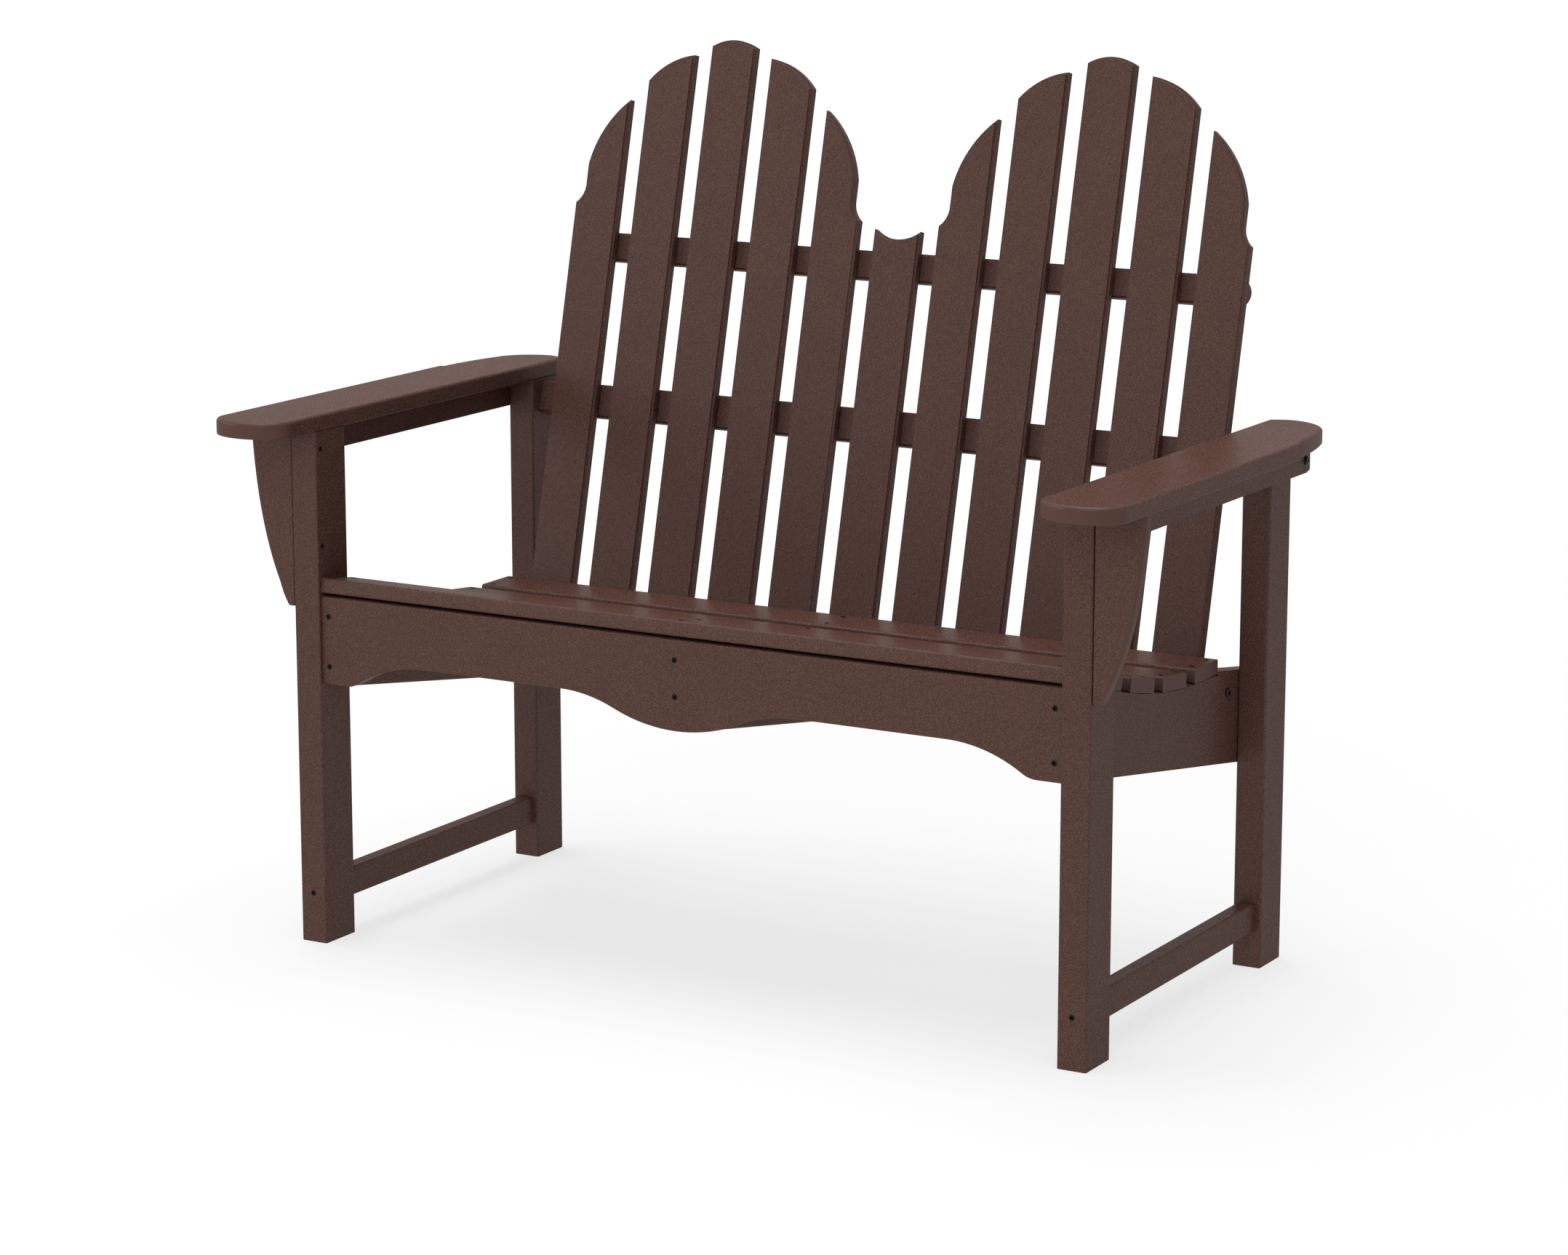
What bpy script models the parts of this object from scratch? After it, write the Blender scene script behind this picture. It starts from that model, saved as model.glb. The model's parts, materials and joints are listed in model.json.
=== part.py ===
"""Two-seat adirondack bench made of solid plastic lumber.

Lengths are in metres and angles in degrees. X runs across the bench, Y from front to back, Z up.
Places are worked out from the front faces of the front legs, where Y is zero, and from the floor.
At the end the whole bench is moved so that the middle of its footprint stands on the origin.
"""

import math

import bmesh
import bpy
from mathutils import Matrix, Vector

# Lumber and joints
BOARD = 0.0254
EDGE_RADIUS = 0.003
CLEARANCE = 0.0003
OVERRUN = 0.005
ROUND_SAG = 0.00006
EDGE_STEPS = 3
SQUARE_share = 0.99999

# Legs and the rails between them
LEG_WIDTH = 0.0381
LEG_DEPTH = 0.0635
LEG_GAP = 1.0484
LEG_REACH = 0.4969
STRETCHER_WIDTH = 0.0222
STRETCHER_HEIGHT = 0.0381
STRETCHER_RISE = 0.0463

# Arms, seen from above
ARM_TOP = 0.6878
ARM_THICKNESS = 0.021
ARM_WIDTH = 0.1075
ARM_LIP = 0.001
ARM_RIM_RADIUS = 0.0045
ARM_OVERHANG = 0.091
ARM_NOSE = 0.040
ARM_NOSE_EXPONENT = 2.1
ARM_NOSE_STEPS = 28
ARM_TAIL = 0.0265
ARM_TAPER = 0.1545
ARM_STEP = 0.0055
ARM_TAPER_RADIUS = 0.450
ARM_CORNER_RADIUS = 0.0675
ARM_CORNER_WIDTH = 0.0234
ARM_CORNER_LENGTH = 0.0385
ARM_HEEL_RADIUS = 0.060
ARM_HEEL_WIDTH = 0.0295
ARM_HEEL_LENGTH = 0.012

# Rail under each arm, on the outer faces of the legs
ARM_RAIL_HEIGHT = 0.0381
ARM_RAIL_CORNER = 0.006

# Bracket under the front of each arm
BRACKET_SETBACK = 0.005
BRACKET_WIDTH = 0.065
BRACKET_HEIGHT = 0.2270
BRACKET_TIP_WIDTH = 0.0112
BRACKET_TIP_RADIUS = 0.003
BRACKET_BEND_WIDTH_share = 0.93
BRACKET_BEND_DROP_share = 0.60
BRACKET_STEPS = 16

# Apron under the front of the seat
APRON_SETBACK = 0.005
APRON_BOTTOM = 0.3415
APRON_HEIGHT = 0.1145
APRON_ARCH = 0.0347
APRON_FOOT = 0.034
APRON_DROP_LOW_RADIUS = 0.224
APRON_DROP_HIGH_RADIUS = 0.198
APRON_END_LOW_RADIUS = 0.035
APRON_END_HIGH_RADIUS = 0.190

# Seat: sloping side rails and a middle joist, their tops cut to a shallow dish
RAIL_TOP = 0.4607
RAIL_SLOPE = 9.0
RAIL_HEIGHT = 0.1175
DISH_DEPTH = 0.0207
DISH_LEAD = 0.0053
DISH_LIP_RUN = 0.0142
SEAT_TO_BACK = 0.004
SEAT_SLAT_COUNT = 5
SEAT_SLAT_WIDTH = 0.0675
SEAT_SLAT_THICKNESS = 0.01905
SEAT_FRONT = 0.004

# Back: tilted slats on three rails, with heights measured up the slope of the slats
BACK_TILT = 13.7
BACK_SLAT_COUNT = 11
BACK_SLAT_WIDTH = 0.0675
BACK_SLAT_THICKNESS = 0.016
BACK_SIDE_GAP = 0.00225
TOP_RAIL_HEIGHT = 0.0381
TOP_RAIL_RISE = 0.8556
TOP_RAIL_INSET = 0.00625
MIDDLE_RAIL_HEIGHT = 0.0445
MIDDLE_RAIL_THICKNESS = 0.0381
BOTTOM_RAIL_HEIGHT = 0.0445
BOTTOM_RAIL_THICKNESS = 0.03175
BOTTOM_RAIL_RISE = 0.3553

# Tops of the back slats: the height of the peak's corners, then how far each corner outwards lies
# below the one before it. The bulge of each curve is a share of its chord.
PEAK_CORNER = 1.1493
PEAK_BULGE_share = 0.1375
SHOULDER_STEP = 0.0130
SHOULDER_FALL = 0.0368
SHOULDER_BULGE_share = 0.0951
TIP_STEP = 0.0275
TIP_FALL = 0.0890
TIP_BULGE_share = 0.0923
TIP_INSET = 0.01275
NOTCH_STEP = 0.0280
NOTCH_FALL = 0.0249
NOTCH_BULGE_share = 0.1205
VALLEY_STEP = 0.2283
VALLEY_BULGE_share = 0.1747

# Bolts: two through the arm rails and rear legs, two through the side rails
BOLT_DIAMETER = 0.00635
BOLT_BITE = 0.030
BOLT_SIDES = 24
HEAD_DIAMETER = 0.0108
HEAD_HEIGHT = 0.0022
WASHER_DIAMETER = 0.0125
WASHER_THICKNESS = 0.0010
SOCKET_WIDTH = 0.004
SOCKET_DEPTH = 0.0018
HEAD_CROWN_share = 0.72
ARM_BOLT_DROP = 0.0210
ARM_BOLT_SETBACK = 0.0159
ARM_BOLT_DEPTH = 0.0252
ARM_BOLT_RISE = 0.0093

# Sizes that follow from the ones above
HALF_GAP = LEG_GAP / 2
LEG_OUTSIDE = HALF_GAP + LEG_WIDTH
BENCH_REAR = LEG_REACH + LEG_DEPTH
UNDER_ARM = ARM_TOP - ARM_THICKNESS
RAIL_OUTSIDE = HALF_GAP - CLEARANCE
RAIL_INSIDE = RAIL_OUTSIDE - BOARD
SINK = math.radians(RAIL_SLOPE)
LEAN = math.radians(BACK_TILT)
RAIL_ALONG = Vector((0, math.cos(SINK), -math.sin(SINK)))
RAIL_UP = Vector((0, math.sin(SINK), math.cos(SINK)))
BACK_UP = Vector((0, math.sin(LEAN), math.cos(LEAN)))
BACK_THROUGH = Vector((0, math.cos(LEAN), -math.sin(LEAN)))
ACROSS = Vector((1, 0, 0))
BACKWARDS = Vector((0, 1, 0))
UPWARDS = Vector((0, 0, 1))
# Ways that the sides of an outline look, for the ends that a saw leaves square
RIGHT_END = ACROSS
LEFT_END = -ACROSS
BOTH_ENDS = (LEFT_END, RIGHT_END)
TOP_END = BACKWARDS
FOOT_END = -BACKWARDS
ARM_BOLT = Vector((0, BENCH_REAR - ARM_BOLT_SETBACK, UNDER_ARM - ARM_BOLT_DROP))
RAIL_FACE = BACK_SLAT_THICKNESS + CLEARANCE
# The slats lean on the middle rail, and that rail hangs on the arm bolts.
BACK_FOOT = ARM_BOLT - BACK_THROUGH * (RAIL_FACE + ARM_BOLT_DEPTH)
BACK_FOOT = BACK_FOOT - BACK_UP * (BACK_FOOT.z / BACK_UP.z)
RAIL_BOLT = (
    BACK_FOOT
    + BACK_UP * (BOTTOM_RAIL_RISE + BOTTOM_RAIL_HEIGHT / 2)
    + BACK_THROUGH * (RAIL_FACE + BOTTOM_RAIL_THICKNESS / 2)
)


def clear_scene():
    for item in list(bpy.data.objects):
        bpy.data.objects.remove(item)


def finish(name, colour, roughness, metallic):
    """A plain Principled material."""
    material = bpy.data.materials.new(name)
    material.use_nodes = True
    shader = material.node_tree.nodes["Principled BSDF"]
    shader.inputs["Base Color"].default_value = (*colour, 1)
    shader.inputs["Roughness"].default_value = roughness
    shader.inputs["Metallic"].default_value = metallic
    return material


# Outlines. They run counter-clockwise, so their outer side is on the right of the way along them.


def bow(start, end, radius, inwards=False):
    """Points of an arc from start up to, but without, end. It bows outwards unless told otherwise."""
    start, end = Vector(start), Vector(end)
    chord = end - start
    half = chord.length / 2
    radius = max(radius, half)
    side = -1 if inwards else 1
    normal = Vector((chord.y, -chord.x)).normalized() * side
    centre = (start + end) / 2 - normal * math.sqrt(radius**2 - half**2)
    sweep = 2 * math.asin(half / radius) * side
    step = 2 * math.acos(1 - min(ROUND_SAG / radius, 1))
    count = max(2, math.ceil(abs(sweep) / step))
    spoke = start - centre
    points = []
    for index in range(count):
        turn = Matrix.Rotation(sweep * index / count, 2)
        points.append(centre + turn @ spoke)
    return points


def swell(start, end, bulge_share, inwards=False):
    """Points of an arc from start to end whose bulge is this share of its chord."""
    chord = (Vector(end) - Vector(start)).length
    radius = chord * (1 + 4 * bulge_share**2) / (8 * bulge_share)
    return bow(start, end, radius, inwards) + [Vector(end)]


def bar_section(width, height):
    """Section of a bar about its middle, with its long edges rounded."""
    points = []
    for quarter, (right, up) in enumerate(((1, 1), (-1, 1), (-1, -1), (1, -1))):
        centre = Vector((right * (width / 2 - EDGE_RADIUS), up * (height / 2 - EDGE_RADIUS)))
        for index in range(EDGE_STEPS + 1):
            angle = math.radians(90 * (quarter + index / EDGE_STEPS))
            points.append(centre + Vector((math.cos(angle), math.sin(angle))) * EDGE_RADIUS)
    return points


def box_outline(left, right, low, high):
    return [Vector((left, low)), Vector((right, low)), Vector((right, high)), Vector((left, high))]


def mirrored(outline):
    return [Vector((-point.x, point.y)) for point in reversed(outline)]


# Boards


def frame(origin, across, up):
    """Places an outline drawn across and up. The board's thickness runs along across x up."""
    return Matrix.Translation(origin) @ Matrix((across, up, across.cross(up))).transposed().to_4x4()


def is_sawn(edge, ends):
    """Whether one of the faces at this edge looks straight towards one of the ends."""
    return any(face.normal.dot(end) > SQUARE_share for face in edge.link_faces for end in ends)


def board(name, outline, thickness, place, material, rim_radius=EDGE_RADIUS, sawn=()):
    """A board with this outline. Its rims are rounded, but not round the sawn ends."""
    shape = bmesh.new()
    corners = [shape.verts.new((point.x, point.y, 0)) for point in outline]
    face = shape.faces.new(corners)
    grown = bmesh.ops.extrude_face_region(shape, geom=[face])["geom"]
    top = [item for item in grown if isinstance(item, bmesh.types.BMVert)]
    bmesh.ops.translate(shape, verts=top, vec=(0, 0, thickness))
    if rim_radius:
        bmesh.ops.recalc_face_normals(shape, faces=shape.faces)
        rims = [edge for edge in shape.edges if edge.verts[0].co.z == edge.verts[1].co.z]
        rims = [edge for edge in rims if not is_sawn(edge, sawn)]
        bmesh.ops.bevel(
            shape,
            geom=rims,
            offset=rim_radius,
            segments=EDGE_STEPS,
            affect="EDGES",
        )
    return piece(name, shape, place, material)


def piece(name, shape, place, material):
    """Turns the shape into a named object with smooth round faces."""
    bmesh.ops.recalc_face_normals(shape, faces=shape.faces)
    mesh = bpy.data.meshes.new(name)
    shape.to_mesh(mesh)
    shape.free()
    mesh.shade_smooth()
    mesh.set_sharp_from_angle(angle=math.radians(35))
    mesh.materials.append(material)
    item = bpy.data.objects.new(name, mesh)
    item.matrix_world = place
    bpy.context.collection.objects.link(item)
    return item


def facing_front(x, front, z, thickness):
    """Frame of a board drawn across and up the bench, with its front face at Y front."""
    return frame(Vector((x, front + thickness, z)), ACROSS, UPWARDS)


def facing_side(x, y=0, z=0):
    """Frame of a board drawn back and up the bench, with its thickness going to the right from x."""
    return frame(Vector((x, y, z)), BACKWARDS, UPWARDS)


# Legs, stretchers and arms


def legs(material):
    length = UNDER_ARM - CLEARANCE
    middle = (HALF_GAP + LEG_OUTSIDE) / 2
    for side, hand in ((-1, "left"), (1, "right")):
        for end, y in (("front", 0), ("rear", LEG_REACH)):
            place = frame(Vector((side * middle, y + LEG_DEPTH / 2, 0)), ACROSS, BACKWARDS)
            section = bar_section(LEG_WIDTH, LEG_DEPTH)
            board(f"{end}_leg_{hand}", section, length, place, material, rim_radius=0)


def stretchers(material):
    start = LEG_DEPTH + CLEARANCE
    length = LEG_REACH - CLEARANCE - start
    z = STRETCHER_RISE + STRETCHER_HEIGHT / 2
    for side, hand in ((-1, "left"), (1, "right")):
        place = facing_front(side * (HALF_GAP + LEG_OUTSIDE) / 2, start, z, length)
        section = bar_section(STRETCHER_WIDTH, STRETCHER_HEIGHT)
        board(f"side_stretcher_{hand}", section, length, place, material, rim_radius=0)


def arm_outline():
    """Right arm from above: a rounded nose, a straight body and a tail that tapers on its outer side."""
    inner = HALF_GAP - ARM_LIP
    outer = inner + ARM_WIDTH
    middle = (inner + outer) / 2
    tail = BENCH_REAR + ARM_TAIL
    nose_end = ARM_NOSE - ARM_OVERHANG
    points = []
    for index in range(ARM_NOSE_STEPS + 1):
        angle = math.pi * index / ARM_NOSE_STEPS
        along = abs(math.cos(angle)) ** (2 / ARM_NOSE_EXPONENT) * math.copysign(1, math.cos(angle))
        ahead = abs(math.sin(angle)) ** (2 / ARM_NOSE_EXPONENT)
        points.append(Vector((middle - along * ARM_WIDTH / 2, nose_end - ahead * ARM_NOSE)))
    step = tail - ARM_TAPER
    corner = (outer - ARM_CORNER_WIDTH, tail - ARM_CORNER_LENGTH)
    rear = (inner + ARM_HEEL_WIDTH, tail)
    heel = (inner, tail - ARM_HEEL_LENGTH)
    points.append(Vector((outer, step)))
    points += bow((outer - ARM_STEP, step), corner, ARM_TAPER_RADIUS)
    points += bow(corner, rear, ARM_CORNER_RADIUS)
    points += bow(rear, heel, ARM_HEEL_RADIUS)
    points.append(Vector(heel))
    return points


def arms(material):
    place = frame(Vector((0, 0, UNDER_ARM)), ACROSS, BACKWARDS)
    board("arm_right", arm_outline(), ARM_THICKNESS, place, material, ARM_RIM_RADIUS)
    board("arm_left", mirrored(arm_outline()), ARM_THICKNESS, place, material, ARM_RIM_RADIUS)


def arm_rails(material):
    """Rails on the outer faces of the legs, from the bracket back to the rear face of the rear leg."""
    start = BRACKET_SETBACK + BOARD + CLEARANCE
    high = UNDER_ARM - CLEARANCE
    low = high - ARM_RAIL_HEIGHT
    above_corner = (BENCH_REAR, low + ARM_RAIL_CORNER)
    outline = [Vector((start, low))]
    outline += bow((BENCH_REAR - ARM_RAIL_CORNER, low), above_corner, ARM_RAIL_CORNER)
    outline += [Vector(above_corner), Vector((BENCH_REAR, high)), Vector((start, high))]
    gap = LEG_OUTSIDE + CLEARANCE
    board("arm_rail_right", outline, BOARD, facing_side(gap), material, sawn=(LEFT_END,))
    board("arm_rail_left", outline, BOARD, facing_side(-gap - BOARD), material, sawn=(LEFT_END,))


def bracket_outline():
    """Right bracket from the front: square to the leg and arm, with one long curve down its outer side."""
    inner = LEG_OUTSIDE + CLEARANCE
    top = UNDER_ARM - CLEARANCE
    bottom = top - BRACKET_HEIGHT
    start = Vector((inner + BRACKET_TIP_WIDTH, bottom + BRACKET_TIP_RADIUS))
    end = Vector((inner + BRACKET_WIDTH, top))
    bend_x = inner + BRACKET_WIDTH * BRACKET_BEND_WIDTH_share
    bend = Vector((bend_x, top - BRACKET_HEIGHT * BRACKET_BEND_DROP_share))
    toe = (start.x - BRACKET_TIP_RADIUS, bottom)
    points = [Vector((inner, bottom))]
    points += bow(toe, start, BRACKET_TIP_RADIUS)
    for index in range(BRACKET_STEPS + 1):
        t = index / BRACKET_STEPS
        points.append(start * (1 - t) ** 2 + bend * 2 * t * (1 - t) + end * t**2)
    points.append(Vector((inner, top)))
    return points


def brackets(material):
    place = facing_front(0, BRACKET_SETBACK, 0, BOARD)
    board("arm_bracket_right", bracket_outline(), BOARD, place, material, sawn=(TOP_END,))
    board("arm_bracket_left", mirrored(bracket_outline()), BOARD, place, material, sawn=(TOP_END,))


# Seat


def ogee(foot, low, rise, low_radius, high_radius, side):
    """An S curve that leaves a level edge at foot, climbs by rise and ends level again."""
    total = low_radius + high_radius
    lean = math.acos(1 - rise / total)
    run = total * math.sin(lean)
    count = max(2, math.ceil(lean / (2 * math.acos(1 - ROUND_SAG / max(low_radius, high_radius)))))
    lower, upper = [], []
    for index in range(count + 1):
        angle = lean * index / count
        out, up = math.sin(angle), 1 - math.cos(angle)
        lower.append(Vector((foot + side * low_radius * out, low + low_radius * up)))
        upper.append(Vector((foot + side * (run - high_radius * out), low + rise - high_radius * up)))
    return lower[:-1] + upper[::-1]


def apron_outline():
    """Apron from the front, with a rounded drop in the middle and one flat arch on either side."""
    end = RAIL_OUTSIDE
    low, high = APRON_BOTTOM, APRON_BOTTOM + APRON_HEIGHT
    drop = ogee(0, low, APRON_ARCH, APRON_DROP_LOW_RADIUS, APRON_DROP_HIGH_RADIUS, 1)
    foot = end - APRON_FOOT
    climb = ogee(foot, low, APRON_ARCH, APRON_END_LOW_RADIUS, APRON_END_HIGH_RADIUS, -1)
    right = drop + climb[::-1] + [Vector((end, low)), Vector((end, high))]
    left = [Vector((-point.x, point.y)) for point in reversed(right[1:])]
    return right + left


def apron(material):
    place = facing_front(0, APRON_SETBACK, 0, BOARD)
    board("apron", apron_outline(), BOARD, place, material, sawn=BOTH_ENDS)


def on_rail(along, up):
    """Point of the side view at a distance along the rail's top line, and this high above that line."""
    point = RAIL_ALONG * along + RAIL_UP * up
    return Vector((point.y, RAIL_TOP + point.z))


class Dish:
    """The arc cut in the top of the rails, in distances along their top line."""

    def __init__(self):
        back_y, back_z = BACK_FOOT.y, 0
        # The dish ends where its wall stands SEAT_TO_BACK in front of the back slats.
        reach = back_y - SEAT_TO_BACK + (RAIL_TOP - back_z) * math.tan(LEAN)
        self.end = reach / (math.cos(SINK) + math.sin(SINK) * math.tan(LEAN))
        self.start = SEAT_FRONT + SEAT_SLAT_WIDTH + DISH_LEAD
        chord = self.end + DISH_LIP_RUN - self.start
        self.radius = (chord**2 / 4 + DISH_DEPTH**2) / (2 * DISH_DEPTH)
        self.middle = self.start + chord / 2
        self.rise = self.radius - DISH_DEPTH

    def floor(self, along):
        """How high the dish lies at this distance along the top line. It is below zero inside the dish."""
        return self.rise - math.sqrt(self.radius**2 - (along - self.middle) ** 2)

    def arc_at(self, along):
        """Distance round the arc from its lowest point."""
        return self.radius * math.asin((along - self.middle) / self.radius)


def dished_top(dish):
    """Top edge of a rail from the back wall of the dish to its front."""
    deep = on_rail(dish.end, dish.floor(dish.end))
    start = on_rail(dish.start, 0)
    return bow(deep, start, dish.radius, inwards=True) + [start]


def rail_at(y):
    """Top and bottom of a side rail at Y."""
    top = RAIL_TOP - y * math.tan(SINK)
    return top, top - RAIL_HEIGHT / math.cos(SINK)


def side_rail_outline(dish):
    start, end = APRON_SETBACK + BOARD + CLEARANCE, BENCH_REAR
    front_top, front_bottom = rail_at(start)
    rear_top, rear_bottom = rail_at(end)
    points = [Vector((start, front_bottom)), Vector((end, rear_bottom)), Vector((end, rear_top))]
    points.append(on_rail(dish.end, 0))
    points += dished_top(dish)
    points.append(Vector((start, front_top)))
    return points


def joist_outline(dish):
    """The middle joist stops at the back slats, whose slope its rear end follows."""
    start = APRON_SETBACK + BOARD + CLEARANCE
    front_top, front_bottom = rail_at(start)
    deep = on_rail(dish.end, dish.floor(dish.end))
    slope = math.tan(LEAN)
    face = BACK_FOOT.y - CLEARANCE / math.cos(LEAN)
    top = Vector((face + deep.y * slope, deep.y))
    drop = RAIL_TOP - RAIL_HEIGHT / math.cos(SINK)
    bottom_y = (face + drop * slope) / (1 + math.tan(SINK) * slope)
    bottom = Vector((bottom_y, rail_at(bottom_y)[1]))
    return [Vector((start, front_bottom)), bottom, top] + dished_top(dish) + [Vector((start, front_top))]


def seat_rails(dish, material):
    outline = side_rail_outline(dish)
    board("side_rail_right", outline, BOARD, facing_side(RAIL_INSIDE), material, sawn=BOTH_ENDS)
    board("side_rail_left", outline, BOARD, facing_side(-RAIL_OUTSIDE), material, sawn=BOTH_ENDS)
    sawn = (LEFT_END, Vector((BACK_THROUGH.y, BACK_THROUGH.z, 0)))
    place = facing_side(-BOARD / 2)
    board("middle_joist", joist_outline(dish), BOARD, place, material, sawn=sawn)


def seat_slat_places(dish):
    """Middle of each slat's underside in the side view, and how far its rear end dips."""
    front = on_rail(SEAT_FRONT + SEAT_SLAT_WIDTH / 2, CLEARANCE)
    places = [(front, SINK)]
    steps = SEAT_SLAT_COUNT - 1
    first = dish.arc_at(dish.start) - DISH_LEAD
    last = dish.arc_at(dish.end) - CLEARANCE
    pitch = (last - first) / steps
    touch = SEAT_SLAT_WIDTH / 2 - EDGE_RADIUS
    reach = math.sqrt((dish.radius - CLEARANCE) ** 2 - touch**2)
    for index in range(1, steps + 1):
        turn = (first + pitch * index - SEAT_SLAT_WIDTH / 2) / dish.radius
        along = dish.middle + reach * math.sin(turn)
        places.append((on_rail(along, dish.rise - reach * math.cos(turn)), SINK - turn))
    return places


def seat_slats(dish, material):
    length = 2 * RAIL_OUTSIDE
    for index, (middle, dip) in enumerate(seat_slat_places(dish), start=1):
        along = Vector((0, math.cos(dip), -math.sin(dip)))
        up = ACROSS.cross(along)
        centre = Vector((-RAIL_OUTSIDE, middle.x, middle.y)) + up * (SEAT_SLAT_THICKNESS / 2)
        section = bar_section(SEAT_SLAT_WIDTH, SEAT_SLAT_THICKNESS)
        board(f"seat_slat_{index}", section, length, frame(centre, along, up), material, rim_radius=0)


# Back. Its outlines are drawn across the bench and up the slope of the slats.


def on_back(depth):
    """Frame of a board of the back whose rear face lies this far behind the slats' front faces."""
    return frame(BACK_FOOT + BACK_THROUGH * depth, ACROSS, BACK_UP)


def slat_top(kind, left, right):
    """Top of a slat from its right edge to its left edge."""
    if kind == "valley":
        high = PEAK_CORNER - VALLEY_STEP
        return swell((right, high), (left, high), VALLEY_BULGE_share, inwards=True)
    if kind == "peak":
        return swell((right, PEAK_CORNER), (left, PEAK_CORNER), PEAK_BULGE_share)
    inner = PEAK_CORNER - SHOULDER_STEP
    outer = inner - SHOULDER_FALL
    if kind == "shoulder":
        return swell((right, outer), (left, inner), SHOULDER_BULGE_share)
    narrow = right - TIP_INSET
    tip = outer - TIP_STEP
    tip_foot = tip - TIP_FALL
    notch = tip_foot - NOTCH_STEP
    points = swell((right, notch - NOTCH_FALL), (narrow, notch), NOTCH_BULGE_share, inwards=True)
    return points + swell((narrow, tip_foot), (left, tip), TIP_BULGE_share)


def slat_outline(kind, offset):
    """A slat whose middle is offset from the middle of its fan. To the left of it, the slat is mirrored."""
    half = BACK_SLAT_WIDTH / 2
    middle = abs(offset)
    left, right = middle - half, middle + half
    points = [Vector((left, BOTTOM_RAIL_RISE)), Vector((right, BOTTOM_RAIL_RISE))]
    points += slat_top(kind, left, right)
    return mirrored(points) if offset < 0 else points


def back_slats(material):
    """Two fans of five slats, a peak between two shoulders and two tips, with a low slat between the fans."""
    span = 2 * (RAIL_INSIDE - BACK_SIDE_GAP) - BACK_SLAT_WIDTH
    pitch = span / (BACK_SLAT_COUNT - 1)
    fan = (BACK_SLAT_COUNT - 1) // 2
    kinds = {0: "peak", 1: "shoulder", 2: "tip"}
    for index in range(BACK_SLAT_COUNT):
        place = index - fan
        if place == 0:
            kind, offset, fan_middle = "valley", 0, 0
        else:
            fan_middle = math.copysign((fan + 1) / 2, place)
            offset = place - fan_middle
            kind = kinds.get(round(abs(offset)), "tip")
        outline = slat_outline(kind, offset * pitch)
        where = on_back(BACK_SLAT_THICKNESS)
        where = Matrix.Translation(ACROSS * fan_middle * pitch) @ where
        name = f"back_slat_{index + 1:02d}"
        board(name, outline, BACK_SLAT_THICKNESS, where, material, sawn=(FOOT_END,))


def back_rails(material):
    """Round-ended top rail, middle rail between the rear legs and bottom rail between the side rails."""
    low, high = TOP_RAIL_RISE, TOP_RAIL_RISE + TOP_RAIL_HEIGHT
    half = TOP_RAIL_HEIGHT / 2
    tip = RAIL_INSIDE - BACK_SIDE_GAP - TOP_RAIL_INSET
    end = tip - half
    outline = bow((end, low), (end, high), half) + bow((-end, high), (-end, low), half)
    outline.insert(outline.index(Vector((-end, high))), Vector((end, high)))
    outline.append(Vector((-end, low)))
    board("back_rail_top", outline, BOARD, on_back(RAIL_FACE + BOARD), material)

    bolt_height = (ARM_BOLT - BACK_FOOT).dot(BACK_UP)
    middle = bolt_height - ARM_BOLT_RISE
    half = MIDDLE_RAIL_HEIGHT / 2
    outline = box_outline(-RAIL_OUTSIDE, RAIL_OUTSIDE, middle - half, middle + half)
    place = on_back(RAIL_FACE + MIDDLE_RAIL_THICKNESS)
    thickness = MIDDLE_RAIL_THICKNESS
    centre_rail = board("back_rail_middle", outline, thickness, place, material, sawn=BOTH_ENDS)

    end = RAIL_INSIDE - CLEARANCE
    high = BOTTOM_RAIL_RISE + BOTTOM_RAIL_HEIGHT
    outline = box_outline(-end, end, BOTTOM_RAIL_RISE, high)
    place = on_back(RAIL_FACE + BOTTOM_RAIL_THICKNESS)
    thickness = BOTTOM_RAIL_THICKNESS
    low_rail = board("back_rail_bottom", outline, thickness, place, material, sawn=BOTH_ENDS)
    return centre_rail, low_rail


# Bolts


def ring(shape, radius, height, socket=False):
    """A ring of points about the bolt's axis. Round the socket it follows a hexagon."""
    points = []
    for index in range(BOLT_SIDES):
        angle = 2 * math.pi * index / BOLT_SIDES
        reach = radius
        if socket:
            side = math.radians(60)
            reach = radius / math.cos((angle + side / 2) % side - side / 2)
        points.append(shape.verts.new((reach * math.cos(angle), reach * math.sin(angle), height)))
    return points


def bolt(name, length, place, material):
    """A button-head bolt along its own Z, with its washer face at zero and its tip at -length."""
    shape = bmesh.new()
    top = WASHER_THICKNESS + HEAD_HEIGHT
    crown = HEAD_DIAMETER / 2 * HEAD_CROWN_share
    rings = [
        ring(shape, SOCKET_WIDTH / 2, top - SOCKET_DEPTH, socket=True),
        ring(shape, SOCKET_WIDTH / 2, top, socket=True),
        ring(shape, crown, top),
        ring(shape, HEAD_DIAMETER / 2, WASHER_THICKNESS + HEAD_HEIGHT / 3),
        ring(shape, HEAD_DIAMETER / 2, WASHER_THICKNESS),
        ring(shape, WASHER_DIAMETER / 2, WASHER_THICKNESS),
        ring(shape, WASHER_DIAMETER / 2, 0),
        ring(shape, BOLT_DIAMETER / 2, 0),
        ring(shape, BOLT_DIAMETER / 2, -length),
    ]
    for upper, lower in zip(rings, rings[1:]):
        for index in range(BOLT_SIDES):
            after = (index + 1) % BOLT_SIDES
            shape.faces.new((upper[index], upper[after], lower[after], lower[index]))
    shape.faces.new(rings[0])
    shape.faces.new(rings[-1])
    return piece(name, shape, place, material)


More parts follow.
